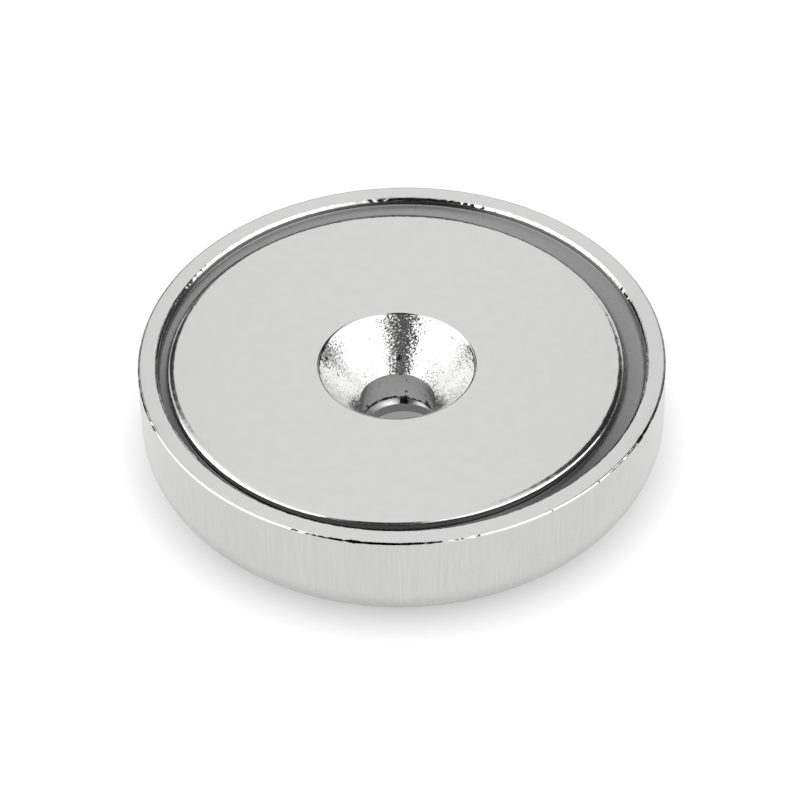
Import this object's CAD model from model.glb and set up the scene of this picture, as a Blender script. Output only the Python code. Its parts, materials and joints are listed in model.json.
import json
import math

import bpy
import numpy as np
from mathutils import Matrix, Vector, noise


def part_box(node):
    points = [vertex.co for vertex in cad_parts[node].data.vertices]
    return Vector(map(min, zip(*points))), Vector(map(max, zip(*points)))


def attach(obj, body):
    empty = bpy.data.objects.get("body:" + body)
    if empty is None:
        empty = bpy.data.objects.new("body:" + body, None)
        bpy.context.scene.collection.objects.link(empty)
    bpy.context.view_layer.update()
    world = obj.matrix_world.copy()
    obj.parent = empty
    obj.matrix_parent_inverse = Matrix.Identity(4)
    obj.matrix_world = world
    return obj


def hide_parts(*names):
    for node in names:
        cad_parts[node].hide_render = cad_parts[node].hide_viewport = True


# A countersunk pot magnet. Each solid of the frame gets a turned mesh of its size in its place, with
# softened and slightly uneven edges, and stands in a white studio.

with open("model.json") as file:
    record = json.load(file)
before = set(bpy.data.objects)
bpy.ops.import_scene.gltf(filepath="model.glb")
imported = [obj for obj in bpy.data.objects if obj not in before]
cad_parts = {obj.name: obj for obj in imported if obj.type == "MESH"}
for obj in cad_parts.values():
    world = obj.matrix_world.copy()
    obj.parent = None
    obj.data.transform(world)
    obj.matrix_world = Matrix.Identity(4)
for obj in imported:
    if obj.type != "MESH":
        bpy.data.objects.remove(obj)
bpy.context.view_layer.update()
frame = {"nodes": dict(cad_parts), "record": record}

mm = 0.001
hair = 1e-6         # in millimetres: two places closer than this are the same
fullTurn = 2 * math.pi

print("stage: frame loaded with", len(frame["nodes"]), "nodes")


# Sizes read from the frame, in millimetres

def boxOf(node):
    low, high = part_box(node)
    return low / mm, high / mm


def mountOf(name):
    return next(entry for entry in frame["record"]["mounts"] if entry["name"] == name)


potLow, potHigh = boxOf("steel_pot")
magnetLow, magnetHigh = boxOf("ring_magnet")
resinLow, resinHigh = boxOf("resin_fill")
screwBore = mountOf("screw_bore")
floorHole = mountOf("floor_hole")

potRadius = (potHigh.x - potLow.x) / 2
rimHeight = potHigh.z
cavityRadius = (resinHigh.x - resinLow.x) / 2
floorTop = magnetLow.z
holeRadius = floorHole["dims"]["r_mm"]
holeLand = floorHole["dims"]["length_mm"]

magnetCentre = ((magnetLow.x + magnetHigh.x) / 2, (magnetLow.y + magnetHigh.y) / 2)
magnetRadius = (magnetHigh.x - magnetLow.x) / 2
faceHeight = magnetHigh.z
boreCentre = (screwBore["pos_m"][0] / mm, screwBore["pos_m"][1] / mm)
boreRadius = screwBore["dims"]["r_mm"]
boreTop = floorTop + screwBore["dims"]["length_mm"]
resinTop = resinHigh.z

print("stage: pot", round(2 * potRadius, 2), "by", round(rimHeight, 2), "mm")


# From a section to rings: the section is a closed list of corners, and each ring of the mesh is one
# point of it turned about the axis

def corner(radius, height, surface, centre=(0.0, 0.0), **more):
    # soften rounds this corner and edge names its surface; surface, rows and relief belong to the run
    # from here to the next corner
    plain = {"soften": 0.0, "edge": surface, "edgeRelief": 0.0, "rows": 1, "relief": 0.0, "grain": 0.4}
    place = {"at": np.array((radius, height)), "surface": surface, "centre": np.array(centre)}
    return {**plain, **more, **place}


def newRing(at, heading, centre, surface, relief, grain):
    outward = np.array((-heading[1], heading[0]))
    look = {"surface": surface, "relief": relief, "grain": grain}
    return {"at": at, "outward": outward, "centre": centre, **look}


def measureCorners(corners):
    # the heading of each run, and for each corner its turn and how far its round reaches
    headings = []
    for k, here in enumerate(corners):
        run = corners[(k + 1) % len(corners)]["at"] - here["at"]
        headings.append(run / np.linalg.norm(run))
    turns, reaches = [], []
    for k, here in enumerate(corners):
        before, after = headings[k - 1], headings[k]
        turn = math.atan2(before[0] * after[1] - before[1] * after[0], before @ after)
        turns.append(turn)
        reaches.append(here["soften"] * math.tan(abs(turn) / 2))
    return headings, turns, reaches


def roundRings(previous, here, heading, turn, reach, arcStep):
    # the rings of a corner's round; a sharp corner has one ring
    lean = math.copysign(1.0, turn) * np.array((-heading[1], heading[0]))
    start = here["at"] - heading * reach
    steps = max(1, math.ceil(math.degrees(abs(turn)) / arcStep)) if reach > 0 else 0
    rings = []
    for step in range(steps + 1):
        share = step / steps if steps else 0.5
        swing = share * abs(turn)
        along = math.cos(swing) * heading + math.sin(swing) * lean
        at = start + here["soften"] * (math.sin(swing) * heading + (1 - math.cos(swing)) * lean)
        surface = here["edge"] if step < steps else here["surface"]
        relief = (1 - share) * previous["relief"] + share * here["relief"]
        relief += here["edgeRelief"] * math.sin(math.pi * share)
        rings.append(newRing(at, along, here["centre"], surface, relief, here["grain"]))
    return rings


def runRings(here, ahead, heading, reach, reachAhead, guard):
    # the rings between two corners; where the run is long enough, those at guard and at four times guard
    # from its ends keep the shading of the rounds off it
    first = here["at"] + heading * reach
    last = ahead["at"] - heading * reachAhead
    length = np.linalg.norm(last - first)
    shares = [row / here["rows"] for row in range(1, here["rows"])]
    for inset in (guard, 4 * guard):
        if length > 6 * inset:
            shares = sorted([inset / length, 1 - inset / length, *shares])
    rings = []
    for share in shares:
        at = first + (last - first) * share
        centre = here["centre"] + (ahead["centre"] - here["centre"]) * share
        rings.append(newRing(at, heading, centre, here["surface"], here["relief"], here["grain"]))
    return rings


def apart(ring, following):
    return any(abs(ring[place] - following[place]).max() > hair for place in ("at", "centre"))


def sectionRings(corners, arcStep=12.0, guard=0.05):
    headings, turns, reaches = measureCorners(corners)
    rings = []
    for k, here in enumerate(corners):
        following = (k + 1) % len(corners)
        rings += roundRings(corners[k - 1], here, headings[k - 1], turns[k], reaches[k], arcStep)
        rings += runRings(here, corners[following], headings[k], reaches[k], reaches[following], guard)
    # where two rounds meet, their ends are one ring
    return [ring for k, ring in enumerate(rings) if apart(ring, rings[(k + 1) % len(rings)])]


# From rings to a mesh

unevenness = {
    "coarse": 0.9,
    "fine": 0.5,
    "fineGrain": 0.45,          # the fine part's grain, as a share of the coarse part's
    "fineShift": (17.0, 5.0, 9.0),
    "level": 0.55,              # noise below this is a dent
}


def dentAt(point, grain):
    # never above 0, so a displaced surface doesn't grow past its size
    coarse = noise.noise(point / grain)
    fine = noise.noise(point / (unevenness["fineGrain"] * grain) + Vector(unevenness["fineShift"]))
    return min(0.0, unevenness["coarse"] * coarse + unevenness["fine"] * fine - unevenness["level"])


def ringRelief(ring, cosine, sine, shift):
    # how far each point of the ring is moved by the unevenness of its surface
    depth = np.zeros(len(cosine))
    if ring["relief"]:
        radius, height = ring["at"]
        for j in range(len(cosine)):
            spot = Vector((radius * cosine[j], radius * sine[j], height))
            depth[j] = ring["relief"] * dentAt(spot + shift, ring["grain"])
    return depth


def angleFrom(angles, place):
    return (angles - math.radians(place["angle"]) + math.pi) % fullTurn - math.pi


def nickBite(ring, nick, angles):
    # 1 in the middle of a nick and 0 well outside it
    along = angleFrom(angles, nick) * ring["at"][0] / nick["along"]
    away = np.linalg.norm(ring["at"] - nick["at"]) / nick["across"]
    return np.exp(-along ** 4 - away ** 2)


def ringShade(ring, previous, dull, angles):
    # 1 where the surface has its full colour, and less in its duller stretches
    shade = np.ones(len(angles))
    for place in dull.get(ring["surface"], dull.get(previous["surface"], ())):
        shade -= place["loss"] * np.exp(-(angleFrom(angles, place) / math.radians(place["reach"])) ** 2)
    return shade


def addObject(name, data):
    piece = bpy.data.objects.new(name, data)
    bpy.context.scene.collection.objects.link(piece)
    return piece


def turnedPiece(name, rings, sides, materials, nicks=(), shift=(0.0, 0.0, 0.0), dull=None):
    # each nick is a dent at a point of the section, and dark as far as its tone says; dull gives a
    # surface its duller stretches round the piece
    angles = np.arange(sides) * fullTurn / sides
    cosine, sine = np.cos(angles), np.sin(angles)
    count = len(rings)
    points = np.empty((count, sides, 3))
    darkness = np.zeros((count, sides))
    shade = np.empty((count, sides))
    for k, ring in enumerate(rings):
        depth = ringRelief(ring, cosine, sine, Vector(shift))
        shade[k] = ringShade(ring, rings[k - 1], dull or {}, angles)
        for nick in nicks:
            bite = nickBite(ring, nick, angles)
            depth -= nick["depth"] * bite
            darkness[k] = np.maximum(darkness[k], nick["tone"] * bite)
        reach = ring["at"][0] + depth * ring["outward"][0]
        points[k, :, 0] = ring["centre"][0] + reach * cosine
        points[k, :, 1] = ring["centre"][1] + reach * sine
        points[k, :, 2] = ring["at"][1] + depth * ring["outward"][1]
    row, column = np.arange(count)[:, None], np.arange(sides)
    start, ahead = row * sides, (row + 1) % count * sides
    aside = (column + 1) % sides
    quads = np.stack([start + column, ahead + column, ahead + aside, start + aside], axis=-1)
    mesh = bpy.data.meshes.new(name)
    mesh.from_pydata((points.reshape(-1, 3) * mm).tolist(), [], quads.reshape(-1, 4).tolist())
    surfaces = sorted({ring["surface"] for ring in rings})
    for surface in surfaces:
        mesh.materials.append(materials[surface])
    indices = np.repeat([surfaces.index(ring["surface"]) for ring in rings], sides)
    mesh.polygons.foreach_set("material_index", indices.astype(np.int32))
    for label, values in (("darkness", darkness), ("shade", shade)):
        mesh.attributes.new(label, "FLOAT", "POINT").data.foreach_set("value", values.ravel())
    mesh.shade_smooth()
    mesh.update()
    print("stage:", name, "has", 2 * count * sides, "triangles")
    return addObject(name, mesh)


# Shader nodes

def plug(tree, value, socket):
    # the value is another node's output or is set on the socket
    if isinstance(value, bpy.types.NodeSocket):
        tree.links.new(value, socket)
    else:
        socket.default_value = value


def mathNode(tree, operation, first, second, clamp=False):
    node = tree.nodes.new("ShaderNodeMath")
    node.operation = operation
    node.use_clamp = clamp
    plug(tree, first, node.inputs[0])
    plug(tree, second, node.inputs[1])
    return node.outputs[0]


def vectorNode(tree, operation, first, second=None, scale=None):
    node = tree.nodes.new("ShaderNodeVectorMath")
    node.operation = operation
    for socket, value in ((0, first), (1, second), ("Scale", scale)):
        if value is not None:
            plug(tree, value, node.inputs[socket])
    return node.outputs["Value" if operation == "LENGTH" else "Vector"]


def noiseNode(tree, vector, detail=2.0, roughness=0.5, output=0):
    node = tree.nodes.new("ShaderNodeTexNoise")
    node.inputs["Scale"].default_value = 1.0
    node.inputs["Detail"].default_value = detail
    node.inputs["Roughness"].default_value = roughness
    tree.links.new(vector, node.inputs["Vector"])
    return node.outputs[output]


def splitVector(tree, vector):
    node = tree.nodes.new("ShaderNodeSeparateXYZ")
    tree.links.new(vector, node.inputs[0])
    return node.outputs


def joinVector(tree, *values):
    node = tree.nodes.new("ShaderNodeCombineXYZ")
    for slot, value in enumerate(values):
        tree.links.new(value, node.inputs[slot])
    return node.outputs[0]


def threshold(tree, value, level, sharpness):
    # 0 below the level, rising to 1 above it
    return mathNode(tree, "MULTIPLY", mathNode(tree, "SUBTRACT", value, level), sharpness, clamp=True)


def inStepsOf(tree, position, size):
    return vectorNode(tree, "SCALE", position, scale=mathNode(tree, "DIVIDE", 1.0, size))


# Shader node groups that the finishes share. Each takes a position in millimetres.

effects = {
    "speckLevel": 0.8,          # the noise that makes a speck where Cover is 0
    "speckGain": 0.6,           # and how much less it takes where Cover is 1
    "speckSharpness": 12.0,
    "turnDrift": 0.12,          # how fast the lathe's rings change round the piece
}


def newGroup(name, inputs, output, outputKind="Float"):
    # inputs gives each name its usual value; one without a value is a vector
    group = bpy.data.node_groups.new(name, "ShaderNodeTree")
    for label, value in inputs.items():
        kind = "NodeSocketVector" if value is None else "NodeSocketFloat"
        socket = group.interface.new_socket(label, in_out="INPUT", socket_type=kind)
        if value is not None:
            socket.default_value = value
    group.interface.new_socket(output, in_out="OUTPUT", socket_type="NodeSocket" + outputKind)
    return group, group.nodes.new("NodeGroupInput"), group.nodes.new("NodeGroupOutput")


def buildMottle():
    # soft clouds in the plating
    group, given, out = newGroup("platingMottle", {"Position": None, "Size": 1.0}, "Value")
    placed = inStepsOf(group, given.outputs["Position"], given.outputs["Size"])
    group.links.new(noiseNode(group, placed, detail=3.0), out.inputs["Value"])
    return group


def buildDrawMarks():
    # fine scratches that run along the axis, left by the drawing die
    inputs = {"Position": None, "Width": 0.2, "Length": 6.0}
    group, given, out = newGroup("drawMarks", inputs, "Value")
    parts = splitVector(group, given.outputs["Position"])
    sizes = zip("XYZ", ("Width", "Width", "Length"))
    shares = [mathNode(group, "DIVIDE", parts[axis], given.outputs[size]) for axis, size in sizes]
    group.links.new(noiseNode(group, joinVector(group, *shares)), out.inputs["Value"])
    return group


def buildTurnMarks():
    # fine rings about the axis, left by the lathe
    group, given, out = newGroup("turnMarks", {"Position": None, "Pitch": 0.12}, "Value")
    position = given.outputs["Position"]
    distance = vectorNode(group, "LENGTH", vectorNode(group, "MULTIPLY", position, (1.0, 1.0, 0.0)))
    ringCount = mathNode(group, "DIVIDE", distance, given.outputs["Pitch"])
    parts = splitVector(group, position)
    drifts = [mathNode(group, "MULTIPLY", parts[axis], effects["turnDrift"]) for axis in "XY"]
    marks = noiseNode(group, joinVector(group, ringCount, *drifts), detail=1.0)
    group.links.new(marks, out.inputs["Value"])
    return group


def buildSpecks():
    # scattered small spots; Cover from 0, few, to 1, nearly everywhere
    group, given, out = newGroup("specks", {"Position": None, "Size": 0.3, "Cover": 0.1}, "Mask")
    placed = inStepsOf(group, given.outputs["Position"], given.outputs["Size"])
    value = noiseNode(group, placed, detail=4.0, roughness=0.6)
    gained = mathNode(group, "MULTIPLY", given.outputs["Cover"], effects["speckGain"])
    level = mathNode(group, "SUBTRACT", effects["speckLevel"], gained)
    group.links.new(threshold(group, value, level, effects["speckSharpness"]), out.inputs["Mask"])
    return group


def buildGrain():
    # fine grains that each lean their own way
    inputs = {"Position": None, "Normal": None, "Size": 0.2, "Lean": 0.5}
    group, given, out = newGroup("leaningGrains", inputs, "Normal", "Vector")
    placed = inStepsOf(group, given.outputs["Position"], given.outputs["Size"])
    colours = noiseNode(group, placed, detail=1.5, output="Color")
    centred = vectorNode(group, "SUBTRACT", colours, (0.5, 0.5, 0.5))
    lean = vectorNode(group, "SCALE", centred, scale=given.outputs["Lean"])
    leaned = vectorNode(group, "ADD", given.outputs["Normal"], lean)
    group.links.new(vectorNode(group, "NORMALIZE", leaned), out.inputs["Normal"])
    return group


mottleGroup = buildMottle()
drawGroup = buildDrawMarks()
turnGroup = buildTurnMarks()
speckGroup = buildSpecks()
grainGroup = buildGrain()
print("stage: node groups built")


def useGroup(tree, group, position, **values):
    node = tree.nodes.new("ShaderNodeGroup")
    node.node_tree = group
    tree.links.new(position, node.inputs["Position"])
    for label, value in values.items():
        plug(tree, value, node.inputs[label])
    return node.outputs[0]


# Materials

def newMaterial(name):
    material = bpy.data.materials.new(name)
    material.use_nodes = True
    tree = material.node_tree
    tree.nodes.clear()
    shader = tree.nodes.new("ShaderNodeBsdfPrincipled")
    output = tree.nodes.new("ShaderNodeOutputMaterial")
    tree.links.new(shader.outputs[0], output.inputs["Surface"])
    return material, tree, shader


def positionIn(tree):
    coordinates = tree.nodes.new("ShaderNodeTexCoord")
    return vectorNode(tree, "SCALE", coordinates.outputs["Object"], scale=1 / mm)


def attributeIn(tree, name):
    node = tree.nodes.new("ShaderNodeAttribute")
    node.attribute_name = name
    return node.outputs["Fac"]


def bumpOn(tree, height, distance, normal=None):
    node = tree.nodes.new("ShaderNodeBump")
    node.inputs["Strength"].default_value = 1.0
    node.inputs["Distance"].default_value = distance * mm
    tree.links.new(height, node.inputs["Height"])
    if normal is not None:
        tree.links.new(normal, node.inputs["Normal"])
    return node.outputs[0]


def blendColour(tree, factor, first, second):
    # a mix node has its colours at inputs 6 and 7 and their blend at output 2
    node = tree.nodes.new("ShaderNodeMix")
    node.data_type = "RGBA"
    tree.links.new(factor, node.inputs[0])
    for slot, colour in ((6, first), (7, second)):
        plug(tree, (*colour, 1.0) if isinstance(colour, tuple) else colour, node.inputs[slot])
    return node.outputs[2]


def shaded(tree, colour):
    # the colour as far as the piece's shade lets it through
    return blendColour(tree, attributeIn(tree, "shade"), (0.0, 0.0, 0.0), colour)


def cloudyRoughness(tree, clouds, finish):
    spread = mathNode(tree, "MULTIPLY", clouds, finish["roughnessSpread"])
    return mathNode(tree, "ADD", spread, finish["roughness"] - finish["roughnessSpread"] / 2)


def soilMask(tree, position, finish):
    # the nicks' darkness and the soot, both broken up by fine noise
    amount = attributeIn(tree, "darkness")
    if "sootTop" in finish:
        below = mathNode(tree, "SUBTRACT", finish["sootTop"], splitVector(tree, position)["Z"])
        amount = mathNode(tree, "MAXIMUM", amount, mathNode(tree, "MULTIPLY", below, finish["sootSharp"]))
    broken = useGroup(tree, mottleGroup, position, Size=finish["soilGrain"])
    uneven = mathNode(tree, "MULTIPLY", mathNode(tree, "SUBTRACT", broken, 0.5), finish["soilBreak"])
    soiled = mathNode(tree, "ADD", amount, uneven)
    return threshold(tree, soiled, finish["soilLevel"], finish["soilSharpness"])


def nickel(name, finish):
    material, tree, shader = newMaterial(name)
    position = positionIn(tree)
    clouds = useGroup(tree, mottleGroup, position, Size=finish["cloudSize"])
    spots = useGroup(tree, speckGroup, position, Size=finish["speckSize"], Cover=finish["speckCover"])
    colour = blendColour(tree, clouds, finish["colour"], finish["cloudColour"])
    colour = blendColour(tree, spots, colour, finish["speckColour"])
    if finish["shaded"]:
        colour = shaded(tree, colour)
    if "soilGrain" in finish:
        colour = blendColour(tree, soilMask(tree, position, finish), colour, finish["soilColour"])
    normal = bumpOn(tree, clouds, finish["cloudHeight"])
    if "drawWidth" in finish:
        marks = useGroup(tree, drawGroup, position, Width=finish["drawWidth"], Length=finish["drawLength"])
        normal = bumpOn(tree, marks, finish["markHeight"], normal)
        if "markColour" in finish:
            worn = threshold(tree, marks, finish["markLevel"], finish["markSharpness"])
            colour = blendColour(tree, worn, colour, finish["markColour"])
    if "turnPitch" in finish:
        marks = useGroup(tree, turnGroup, position, Pitch=finish["turnPitch"])
        normal = bumpOn(tree, marks, finish["markHeight"], normal)
    if "grainSize" in finish:
        grain = {"Size": finish["grainSize"], "Lean": finish["grainLean"]}
        normal = useGroup(tree, grainGroup, position, Normal=normal, **grain)
    tree.links.new(colour, shader.inputs["Base Color"])
    tree.links.new(cloudyRoughness(tree, clouds, finish), shader.inputs["Roughness"])
    tree.links.new(normal, shader.inputs["Normal"])
    shader.inputs["Metallic"].default_value = 1.0
    return material


# each surface's finish is this one with the surface's own values over it; sizes are in millimetres
plainNickel = {
    "colour": (0.69, 0.688, 0.685),
    "cloudColour": (0.66, 0.658, 0.656),
    "cloudSize": 1.5,
    "cloudHeight": 0.001,
    "roughness": 0.19,
    "roughnessSpread": 0.04,
    "speckSize": 0.5,
    "speckCover": 0.05,
    "speckColour": (0.42, 0.42, 0.42),
    "shaded": False,            # whether it has duller stretches
    "soilColour": (0.05, 0.05, 0.05),   # soil shows only on a surface that has a soilGrain
    "soilLevel": 0.35,
    "soilSharpness": 5.0,
}


def nickelFinishes(finishes):
    materials = {}
    for surface, own in finishes.items():
        materials[surface] = nickel(own["name"], {**plainNickel, **own})
    return materials


# The steel pot

rimSoil = {"soilGrain": 0.16, "soilBreak": 1.1}
innerDrawing = {"roughness": 0.22, "drawWidth": 0.25, "drawLength": 5.0, "markHeight": 0.002}

pot = {
    "sides": 1180,
    "outerRound": 0.18,
    "innerBreak": (0.19, 0.2),      # how far the rim's inner edge is broken, across and down
    "innerSoftness": 0.08,
    "backRound": 3.7,
    "cavityCorner": 0.6,
    "holeBreakLean": 45.0,
    "holeFootSoftness": 0.1,
    "holeLandSoftness": 0.08,
    "edgeRelief": 0.018,            # how uneven the rim's edges are
    "edgeGrain": 0.45,
    "reliefShift": (3.7, 8.51, 0.0),    # where its unevenness is taken from the noise
    # knocks and dark spots along the rim's outer edge; the angle is from +X, along and across are half
    # sizes
    "rimNicks": [
        {"angle": -12.0, "along": 1.6, "across": 0.07, "depth": 0.01, "tone": 0.7},
        {"angle": -19.5, "along": 1.1, "across": 0.08, "depth": 0.015, "tone": 0.8},
        {"angle": -25.5, "along": 0.6, "across": 0.09, "depth": 0.015, "tone": 0.9},
        {"angle": -28.6, "along": 0.45, "across": 0.14, "depth": 0.01, "tone": 1.9},
        {"angle": -32.5, "along": 1.0, "across": 0.06, "depth": 0.01, "tone": 1.0},
        {"angle": -38.5, "along": 1.1, "across": 0.05, "depth": 0.01, "tone": 0.9},
        {"angle": -44.5, "along": 0.1, "across": 0.14, "depth": 0.02, "tone": 0.9},
        {"angle": -57.75, "along": 0.08, "across": 0.14, "depth": 0.02, "tone": 0.8},
        {"angle": -71.25, "along": 0.12, "across": 0.1, "depth": 0.02, "tone": 0.6},
        {"angle": -74.7, "along": 0.12, "across": 0.12, "depth": 0.02, "tone": 0.9},
        {"angle": -75.6, "along": 0.2, "across": 0.12, "depth": 0.05, "tone": 0.0},
        {"angle": -78.8, "along": 0.5, "across": 0.08, "depth": 0.01, "tone": 0.6},
        {"angle": -84.2, "along": 0.7, "across": 0.1, "depth": 0.02, "tone": 0.75},
        {"angle": -88.6, "along": 0.9, "across": 0.22, "depth": 0.03, "tone": 0.5},
        {"angle": -92.0, "along": 0.5, "across": 0.1, "depth": 0.02, "tone": 1.0},
        {"angle": -96.5, "along": 1.2, "across": 0.1, "depth": 0.02, "tone": 1.1},
        {"angle": -100.7, "along": 0.5, "across": 0.15, "depth": 0.06, "tone": 1.3},
        {"angle": -104.4, "along": 0.6, "across": 0.09, "depth": 0.02, "tone": 0.9},
        {"angle": -109.0, "along": 1.0, "across": 0.07, "depth": 0.01, "tone": 0.65},
        {"angle": -113.5, "along": 0.3, "across": 0.09, "depth": 0.02, "tone": 0.9},
        {"angle": -158.75, "along": 0.35, "across": 0.1, "depth": 0.03, "tone": 0.7},
        {"angle": -165.2, "along": 0.6, "across": 0.09, "depth": 0.015, "tone": 1.2},
        {"angle": -169.0, "along": 0.6, "across": 0.09, "depth": 0.015, "tone": 1.1},
        {"angle": -173.0, "along": 0.6, "across": 0.09, "depth": 0.015, "tone": 1.1},
        {"angle": -177.0, "along": 0.6, "across": 0.08, "depth": 0.015, "tone": 1.0},
        {"angle": -182.5, "along": 1.4, "across": 0.06, "depth": 0.01, "tone": 0.8},
        {"angle": -190.0, "along": 1.4, "across": 0.05, "depth": 0.01, "tone": 0.7},
    ],
    # a dark spot low on the screw hole's chamfer
    "holeSpot": {"angle": 88.0, "along": 0.38, "across": 0.3, "depth": 0.0, "tone": 0.9},
    "holeSpotRise": 0.15,
    # soot thickens below sootTop, or above it where sootSharp is negative
    "finishes": {
        "face": {"name": "potRimFace", "turnPitch": 0.14, "markHeight": 0.0006, **rimSoil},
        "wall": {
            "name": "potWall",
            "colour": (0.63, 0.628, 0.625),
            "cloudColour": (0.58, 0.577, 0.573),
            "cloudSize": 2.4,
            "roughness": 0.27,
            "drawWidth": 0.2,
            "drawLength": 3.5,
            "markHeight": 0.002,
            "markColour": (0.585, 0.582, 0.578),
            "markLevel": 0.42,
            "markSharpness": 5.0,
            **rimSoil,
        },
        "break": {"name": "potEdge", "roughness": 0.1, "cloudSize": 0.3, "cloudHeight": 0.002, **rimSoil},
        "inside": {
            "name": "potInside",
            "colour": (0.28, 0.279, 0.277),
            "cloudColour": (0.23, 0.229, 0.228),
            **innerDrawing,
        },
        "hole": {
            "name": "potHole",
            "colour": (0.5, 0.498, 0.495),
            "cloudColour": (0.44, 0.438, 0.435),
            **innerDrawing,
        },
        "land": {
            "name": "potFloor",
            "colour": (0.97, 0.968, 0.965),
            "roughness": 0.3,
            "cloudSize": 0.4,
            "sootTop": holeLand + 0.3,
            "sootSharp": -6.0,
            **rimSoil,
        },
        "back": {"name": "potBack", "turnPitch": 0.3, "markHeight": 0.001, "roughness": 0.26},
    },
}


def buildPot():
    inAcross, inDown = pot["innerBreak"]
    uneven = {"edge": "break", "edgeRelief": pot["edgeRelief"], "grain": pot["edgeGrain"]}
    inner = {**uneven, "soften": pot["innerSoftness"]}
    cavityFoot = cavityRadius - pot["cavityCorner"]
    breakWidth = (floorTop - holeLand) / math.tan(math.radians(pot["holeBreakLean"]))
    shape = [
        corner(holeRadius, 0.0, "hole", soften=pot["holeFootSoftness"]),
        corner(holeRadius, holeLand, "land", soften=pot["holeLandSoftness"], rows=3),
        corner(holeRadius + breakWidth, floorTop, "land"),
        corner(cavityFoot, floorTop, "inside"),
        corner(cavityRadius, floorTop + pot["cavityCorner"], "inside"),
        corner(cavityRadius, rimHeight - inDown, "break", **inner, rows=4, relief=pot["edgeRelief"]),
        corner(cavityRadius + inAcross, rimHeight, "face", **inner, rows=2),
        corner(potRadius, rimHeight, "wall", **uneven, soften=pot["outerRound"], rows=3),
        corner(potRadius, 0.0, "back", edge="wall", soften=pot["backRound"], rows=3),
    ]
    # from a square corner to the middle of its round, each way
    inset = (1 - math.sqrt(0.5)) * pot["outerRound"]
    rimEdge = np.array((potRadius - inset, rimHeight - inset))
    nicks = [{**nick, "at": rimEdge} for nick in pot["rimNicks"]]
    rise = pot["holeSpotRise"]
    nicks.append({**pot["holeSpot"], "at": np.array((holeRadius + rise, holeLand + rise))})
    materials = nickelFinishes(pot["finishes"])
    piece = turnedPiece("pot", sectionRings(shape), pot["sides"], materials, nicks, pot["reliefShift"])
    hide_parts("steel_pot")
    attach(piece, "root")


# The ring magnet

boreSoil = {"soilGrain": 0.3, "soilBreak": 2.4}

magnet = {
    "sides": 850,
    "arcStep": 5.0,
    "crownLean": 20.0,      # the face first bends down this far, gently, then turns into the side
    "crownRound": 1.25,
    "edgeRound": 0.25,
    "footBreak": 0.35,
    "countersinkRadius": 6.235,
    "countersinkSoftness": 0.36,
    "boreFootSoftness": 0.05,
    "boreSoftness": 0.08,
    "edgeRelief": 0.008,
    "edgeGrain": 0.45,
    "coneRows": 24,
    "coneRelief": 0.004,
    "coneGrain": 0.5,
    "reliefShift": (11.0, 25.3, 0.0),
    # dirt in the bore, by its height above the bore's foot; the angle is about the bore's own middle
    "boreDirt": [
        {"up": 0.1, "angle": 81.5, "along": 0.42, "across": 0.12, "tone": 0.9},
        {"up": 0.3, "angle": 33.0, "along": 0.4, "across": 0.3, "tone": 1.0},
        {"up": 0.3, "angle": 150.0, "along": 0.7, "across": 0.2, "tone": 0.35},
    ],
    # and in the countersink, from 0 at the bore to 1 at the magnet's face
    "coneDirt": [
        {"share": 0.245, "angle": 86.0, "along": 0.28, "across": 0.25, "tone": 0.7},
        {"share": 0.85, "angle": 166.0, "along": 1.0, "across": 0.45, "tone": 0.3},
        {"share": 0.98, "angle": 170.0, "along": 2.5, "across": 0.1, "tone": 0.62},
        {"share": 0.98, "angle": 4.0, "along": 2.0, "across": 0.09, "tone": 0.58},
    ],
    # the magnet's edge is worn rounder here, at the front left
    "edgeWear": {"angle": -130.0, "along": 8.0, "across": 0.3, "depth": 0.075, "tone": 0.0},
    "wearPlace": (0.12, 0.1),       # in from the side and down from the face
    # duller stretches: where, how wide in degrees, and the share of the colour that is lost
    "dull": {
        "side": [
            {"angle": 65.0, "reach": 110.0, "loss": 0.75},
            {"angle": -35.0, "reach": 25.0, "loss": 0.6},
            {"angle": 180.0, "reach": 25.0, "loss": 0.5},
        ],
        "bore": [
            {"angle": 0.0, "reach": 40.0, "loss": 0.6},
            {"angle": 180.0, "reach": 40.0, "loss": 0.6},
            {"angle": -90.0, "reach": 50.0, "loss": 0.4},
        ],
    },
    "finishes": {
        "face": {"name": "magnetFace", "cloudSize": 1.1, "cloudHeight": 0.0015},
        "edge": {
            "name": "magnetEdge",
            "roughness": 0.16,
            "cloudSize": 0.35,
            "cloudHeight": 0.002,
            "soilGrain": 0.5,
            "soilBreak": 0.8,
        },
        "side": {
            "name": "magnetSide",
            "colour": (0.85, 0.848, 0.845),
            "cloudColour": (0.75, 0.748, 0.745),
            "roughness": 0.34,
            "shaded": True,
        },
        "cone": {
            "name": "magnetCountersink",
            "colour": (0.74, 0.738, 0.735),
            "cloudColour": (0.71, 0.708, 0.705),
            "roughness": 0.24,
            "cloudSize": 0.6,
            "cloudHeight": 0.003,
            "grainSize": 0.15,
            "grainLean": 0.7,
            **boreSoil,
        },
        "bore": {
            "name": "magnetBore",
            "colour": (0.97, 0.968, 0.965),
            "cloudColour": (0.93, 0.928, 0.925),
            "roughness": 0.24,
            "cloudSize": 0.4,
            "cloudHeight": 0.004,
            "shaded": True,
            "sootTop": floorTop + 0.3,
            "sootSharp": 3.0,
            **boreSoil,
        },
    },
}


def magnetNicks():
    coneFoot = np.array((boreRadius, boreTop))
    coneRun = np.array((magnet["countersinkRadius"], faceHeight)) - coneFoot
    nicks = []
    for spot in magnet["boreDirt"]:
        nicks.append({**spot, "at": np.array((boreRadius, floorTop + spot["up"])), "depth": 0.0})
    for spot in magnet["coneDirt"]:
        nicks.append({**spot, "at": coneFoot + spot["share"] * coneRun, "depth": 0.0})
    across, down = magnet["wearPlace"]
    nicks.append({**magnet["edgeWear"], "at": np.array((magnetRadius - across, faceHeight - down))})
    return nicks


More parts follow.
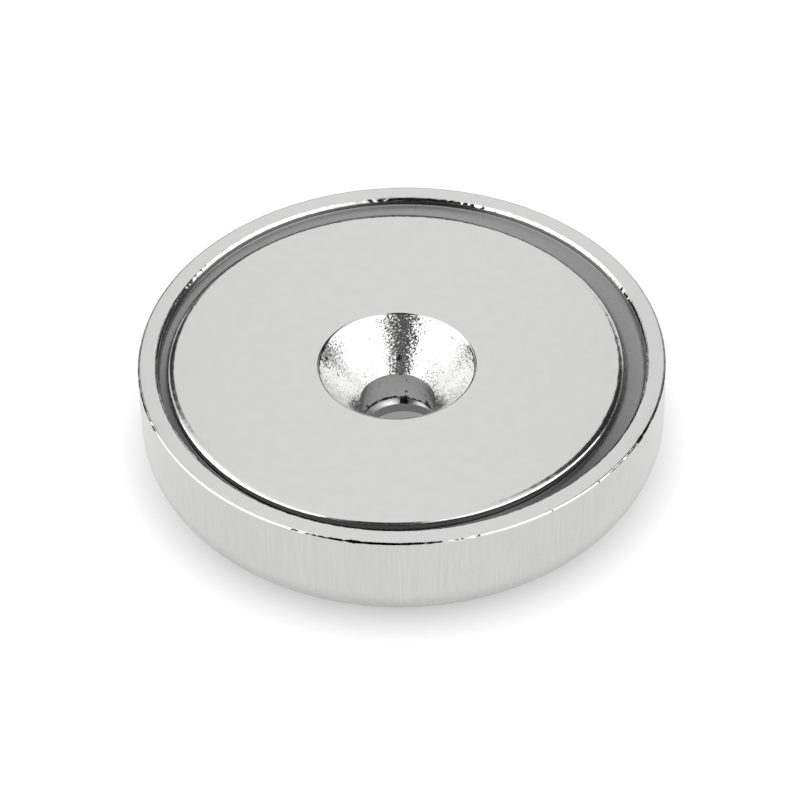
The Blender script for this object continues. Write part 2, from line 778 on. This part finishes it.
def buildMagnet():
    rough = {"rows": magnet["coneRows"], "relief": magnet["coneRelief"], "grain": magnet["coneGrain"]}
    lip = {"soften": magnet["countersinkSoftness"], "edge": "edge", "rows": 4}
    worn = {"edge": "edge", "edgeRelief": magnet["edgeRelief"], "grain": magnet["edgeGrain"]}
    foot = magnet["footBreak"]
    lean = math.radians(magnet["crownLean"])
    # the two rounds meet on this slope between the face and the side
    slope = magnet["crownRound"] * math.tan(lean / 2)
    slope += magnet["edgeRound"] * math.tan((math.pi / 2 - lean) / 2)
    crowned = (magnetRadius - slope * math.cos(lean), faceHeight)
    shoulder = (magnetRadius, faceHeight - slope * math.sin(lean))
    shape = [
        corner(boreRadius, floorTop, "bore", boreCentre, soften=magnet["boreFootSoftness"], rows=4),
        corner(boreRadius, boreTop, "cone", boreCentre, soften=magnet["boreSoftness"], **rough),
        corner(magnet["countersinkRadius"], faceHeight, "face", boreCentre, **lip),
        corner(*crowned, "edge", magnetCentre, soften=magnet["crownRound"], **worn),
        corner(*shoulder, "side", magnetCentre, soften=magnet["edgeRound"], rows=3, **worn),
        corner(magnetRadius, floorTop + foot, "side", magnetCentre),
        corner(magnetRadius - foot, floorTop, "side", magnetCentre, rows=2),
    ]
    rings = sectionRings(shape, arcStep=magnet["arcStep"])
    materials = nickelFinishes(magnet["finishes"])
    uneven = {"shift": magnet["reliefShift"], "dull": magnet["dull"]}
    piece = turnedPiece("magnet", rings, magnet["sides"], materials, magnetNicks(), **uneven)
    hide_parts("ring_magnet")
    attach(piece, "root")


# The resin cast round the magnet

resin = {
    "sides": 1440,
    "colour": (0.31, 0.31, 0.31),
    "cloudColour": (0.36, 0.36, 0.358),
    "cloudSize": 0.9,
    "cloudHeight": 0.006,
    "roughness": 0.28,
    "roughnessSpread": 0.1,
    "metal": 0.9,           # share of metal powder in the resin
    "sink": 0.24,           # how far its surface lies below the solid's, at the middle of the pot
    "fall": 0.0135,         # it was cast at a slight slant: so much lower for each mm towards the viewer
    "wallClimb": 0.1,       # how far it climbs the pot's wall, and how widely
    "wallWidth": 0.14,
    "magnetClimb": 0.05,    # and the magnet
    "magnetWidth": 0.1,
    "topRows": 32,
    "guard": 0.02,
    # duller stretches: the front as a whole, and two places in it
    "dull": [
        {"angle": -100.0, "reach": 90.0, "loss": 0.45},
        {"angle": -45.0, "reach": 20.0, "loss": 0.3},
        {"angle": -155.0, "reach": 25.0, "loss": 0.3},
    ],
}


def resinFinish():
    material, tree, shader = newMaterial("resinGrey")
    clouds = useGroup(tree, mottleGroup, positionIn(tree), Size=resin["cloudSize"])
    cast = blendColour(tree, clouds, resin["colour"], resin["cloudColour"])
    tree.links.new(shaded(tree, cast), shader.inputs["Base Color"])
    tree.links.new(cloudyRoughness(tree, clouds, resin), shader.inputs["Roughness"])
    tree.links.new(bumpOn(tree, clouds, resin["cloudHeight"]), shader.inputs["Normal"])
    shader.inputs["Metallic"].default_value = resin["metal"]
    return material


def buildResin():
    shape = [
        corner(magnetRadius, floorTop + magnet["footBreak"], "resin", magnetCentre),
        corner(magnetRadius, resinTop, "resin", magnetCentre, rows=resin["topRows"]),
        corner(cavityRadius, resinTop, "resin"),
        corner(cavityRadius, floorTop + pot["cavityCorner"], "resin"),
    ]
    rings = sectionRings(shape, guard=resin["guard"])
    for ring in rings:
        radius, height = ring["at"]
        if height > resinTop - hair:
            climb = resin["wallClimb"] * math.exp((radius - cavityRadius) / resin["wallWidth"])
            climb += resin["magnetClimb"] * math.exp((magnetRadius - radius) / resin["magnetWidth"])
            ring["at"] = np.array((radius, height + climb - resin["sink"]))
    dull = {"resin": resin["dull"]}
    piece = turnedPiece("resin", rings, resin["sides"], {"resin": resinFinish()}, dull=dull)
    for vertex in piece.data.vertices:
        if vertex.co.z > (resinTop - resin["sink"] - hair) * mm:
            vertex.co.z += resin["fall"] * vertex.co.y
    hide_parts("resin_fill")
    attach(piece, "root")


buildPot()
buildMagnet()
buildResin()


# The studio: a pale floor in a white tent, with a soft lamp each side

# lengths are in metres, apart from underReach; azimuths and elevations are in degrees
studio = {
    "floorSize": 6.0,
    "floorGlow": 0.84,          # the part of the floor's white that shadows don't take
    "floorColour": 0.2,
    "underGlow": 0.27,          # and what is left of it under the pot
    "underReach": (16.5, 23.0),     # between these distances from the pot's axis the glow comes back
    "floorBounce": 0.85,        # what the floor gives back to the light on the object
    "tentFill": 0.72,           # the tent's light on the object
    "lampReach": 0.6,
    "lampSize": (1.0, 0.5),
    "lampRadiance": 1.2,
    "lampAzimuths": (-17.0, 197.0),
    "lampElevation": 38.0,
    "cardBlack": 0.012,
    "bandReach": 0.5,
    "bandFoot": 0.0005,         # the band's lower edge, clear of the floor
    "bandPanels": 48,
    # the dark band at the tent's foot: azimuth and elevation of its top
    "bandTops": [
        (-6, 8), (13, 13), (17, 22), (50, 26), (58, 24), (68, 20), (82, 21), (92, 25), (112, 28),
        (117, 16), (140, 16), (142, 28), (153, 28), (155, 18), (162, 9), (186, 4),
    ],
    "gapReach": 0.45,
    "gapSteps": 8,
    # dark places higher up, by the azimuth and elevation of their corners: beside the back panel on the
    # right and on the left, and on the camera's side
    "gaps": [
        [(76, 36), (38, 31), (40, 61), (72, 62)],
        [(38, 31), (11, 18), (27, 58), (40, 61)],
        [(104, 30), (125, 25), (127, 46), (104, 47)],
        [(-127, 4), (-81, 4), (-77, 54), (-129, 54)],
        [(-129, 54), (-77, 54), (-73, 84), (-134, 84)],
    ],
}

white = (1.0, 1.0, 1.0, 1.0)


def seenRay(tree):
    # 1 for a ray that shows a thing to the camera, by itself or in a reflection
    path = tree.nodes.new("ShaderNodeLightPath").outputs
    reflected = mathNode(tree, "MAXIMUM", path["Is Camera Ray"], path["Is Glossy Ray"])
    return mathNode(tree, "MAXIMUM", reflected, path["Is Transmission Ray"])


def buildTent():
    world = bpy.data.worlds.new("tent")
    bpy.context.scene.world = world
    world.use_nodes = True
    tree = world.node_tree
    background = tree.nodes["Background"]
    background.inputs["Color"].default_value = white
    seen = seenRay(tree)
    unseen = mathNode(tree, "SUBTRACT", 1.0, seen)
    fill = mathNode(tree, "MULTIPLY", unseen, studio["tentFill"])
    tree.links.new(mathNode(tree, "ADD", seen, fill), background.inputs["Strength"])


def paintMatt(shader, grey):
    shader.inputs["Base Color"].default_value = (grey, grey, grey, 1.0)
    shader.inputs["Roughness"].default_value = 1.0
    shader.inputs["Specular IOR Level"].default_value = 0.0


def mixShaders(tree, factor, first, second):
    node = tree.nodes.new("ShaderNodeMixShader")
    for slot, value in enumerate((factor, first, second)):
        tree.links.new(value, node.inputs[slot])
    return node.outputs[0]


def floorFinish():
    material, tree, shader = newMaterial("floorWhite")
    paintMatt(shader, studio["floorColour"])
    # it glows less under the pot
    near, far = studio["underReach"]
    spread = mathNode(tree, "SUBTRACT", vectorNode(tree, "LENGTH", positionIn(tree)), near)
    opened = mathNode(tree, "DIVIDE", spread, far - near, clamp=True)
    gained = mathNode(tree, "MULTIPLY", opened, studio["floorGlow"] - studio["underGlow"])
    glow = mathNode(tree, "ADD", gained, studio["underGlow"])
    shader.inputs["Emission Color"].default_value = white
    tree.links.new(glow, shader.inputs["Emission Strength"])
    # it lights the object as plain paper, and from below it can't be seen
    paper = tree.nodes.new("ShaderNodeBsdfDiffuse")
    paper.inputs["Color"].default_value = (studio["floorBounce"],) * 3 + (1.0,)
    picked = mixShaders(tree, seenRay(tree), paper.outputs[0], shader.outputs[0])
    clear = tree.nodes.new("ShaderNodeBsdfTransparent")
    below = tree.nodes.new("ShaderNodeNewGeometry").outputs["Backfacing"]
    surface = mixShaders(tree, below, picked, clear.outputs[0])
    tree.links.new(surface, tree.nodes["Material Output"].inputs["Surface"])
    return material


def buildFloor():
    half = studio["floorSize"] / 2
    corners = [(-half, -half, 0), (half, -half, 0), (half, half, 0), (-half, half, 0)]
    mesh = bpy.data.meshes.new("floor")
    mesh.from_pydata(corners, [], [(0, 1, 2, 3)])
    mesh.materials.append(floorFinish())
    floor = addObject("floor", mesh)


def towards(azimuth, elevation):
    turn, rise = math.radians(azimuth), math.radians(elevation)
    return Vector((math.cos(turn) * math.cos(rise), math.sin(turn) * math.cos(rise), math.sin(rise)))


def buildLamps():
    width, height = studio["lampSize"]
    for number, azimuth in enumerate(studio["lampAzimuths"]):
        data = bpy.data.lights.new(f"softLamp{number + 1}", "AREA")
        data.shape = "RECTANGLE"
        data.size, data.size_y = width, height
        data.energy = studio["lampRadiance"] * math.pi * width * height
        direction = towards(azimuth, studio["lampElevation"])
        lamp = addObject(data.name, data)
        lamp.location = direction * studio["lampReach"]
        lamp.rotation_euler = direction.to_track_quat("Z", "Y").to_euler()
        lamp.visible_camera = False


def addCard(name, points, faces, material):
    # a card darkens reflections only
    mesh = bpy.data.meshes.new(name)
    mesh.from_pydata(points, [], faces)
    mesh.materials.append(material)
    card = addObject(name, mesh)
    card.visible_camera = False
    card.visible_diffuse = False
    card.visible_shadow = False


def addBand(material):
    reach, panels = studio["bandReach"], studio["bandPanels"]
    azimuths, tops = zip(*studio["bandTops"])
    points, faces = [], []
    for azimuth in np.linspace(azimuths[0], azimuths[-1], panels + 1):
        foot = reach * towards(azimuth, 0.0)
        top = reach * math.tan(math.radians(float(np.interp(azimuth, azimuths, tops))))
        points += [(foot.x, foot.y, studio["bandFoot"]), (foot.x, foot.y, top)]
    for first in range(0, 2 * panels, 2):
        faces.append((first, first + 2, first + 3, first + 1))
    addCard("darkBand", points, faces, material)


def addGap(name, corners, material):
    steps = studio["gapSteps"]
    low = np.linspace(corners[0], corners[1], steps + 1)
    high = np.linspace(corners[3], corners[2], steps + 1)
    points, faces = [], []
    for start, end in zip(low, high):
        for azimuth, elevation in np.linspace(start, end, steps + 1):
            points.append(studio["gapReach"] * towards(azimuth, elevation))
    for k in range(steps):
        for j in range(steps):
            first = k * (steps + 1) + j
            faces.append((first, first + 1, first + steps + 2, first + steps + 1))
    addCard(name, points, faces, material)


def buildCards():
    material, _, shader = newMaterial("cardBlack")
    paintMatt(shader, studio["cardBlack"])
    addBand(material)
    for number, gap in enumerate(studio["gaps"]):
        addGap(f"darkGap{number + 1}", gap, material)


buildTent()
buildFloor()
buildLamps()
buildCards()
print("stage: studio built")


# The camera

# lengths are in millimetres and angles in degrees
camera = {
    "sensor": 36.0,
    "lens": 166.4,
    "elevation": 43.115,        # above the rim's plane
    "roll": -1.2109,
    "distance": 294.0,          # to the middle of the rim
    "rimRight": 0.132,          # the rim's middle stands this far right of the picture's middle
    "rimUp": 3.493,
    "clip": (10.0, 20000.0),
}


def buildCamera():
    rise, roll = math.radians(camera["elevation"]), math.radians(camera["roll"])
    forward = Vector((0.0, math.cos(rise), -math.sin(rise)))
    levelRight = Vector((1.0, 0.0, 0.0))
    levelUp = Vector((0.0, math.sin(rise), math.cos(rise)))
    right = math.cos(roll) * levelRight + math.sin(roll) * levelUp
    up = math.cos(roll) * levelUp - math.sin(roll) * levelRight
    rim = Vector((0.0, 0.0, rimHeight))
    eye = rim - camera["rimRight"] * right - camera["rimUp"] * up - camera["distance"] * forward
    data = bpy.data.cameras.new("camera")
    data.sensor_width = camera["sensor"]
    data.lens = camera["lens"]
    data.clip_start, data.clip_end = (length * mm for length in camera["clip"])
    eyePiece = addObject("camera", data)
    turned = Matrix((right, up, -forward)).transposed().to_4x4()
    eyePiece.matrix_world = Matrix.Translation(eye * mm) @ turned
    bpy.context.scene.camera = eyePiece


buildCamera()
bpy.context.scene.view_settings.view_transform = "Standard"
print("stage: camera placed")

bpy.context.view_layer.update()
print("stage: scene ready")
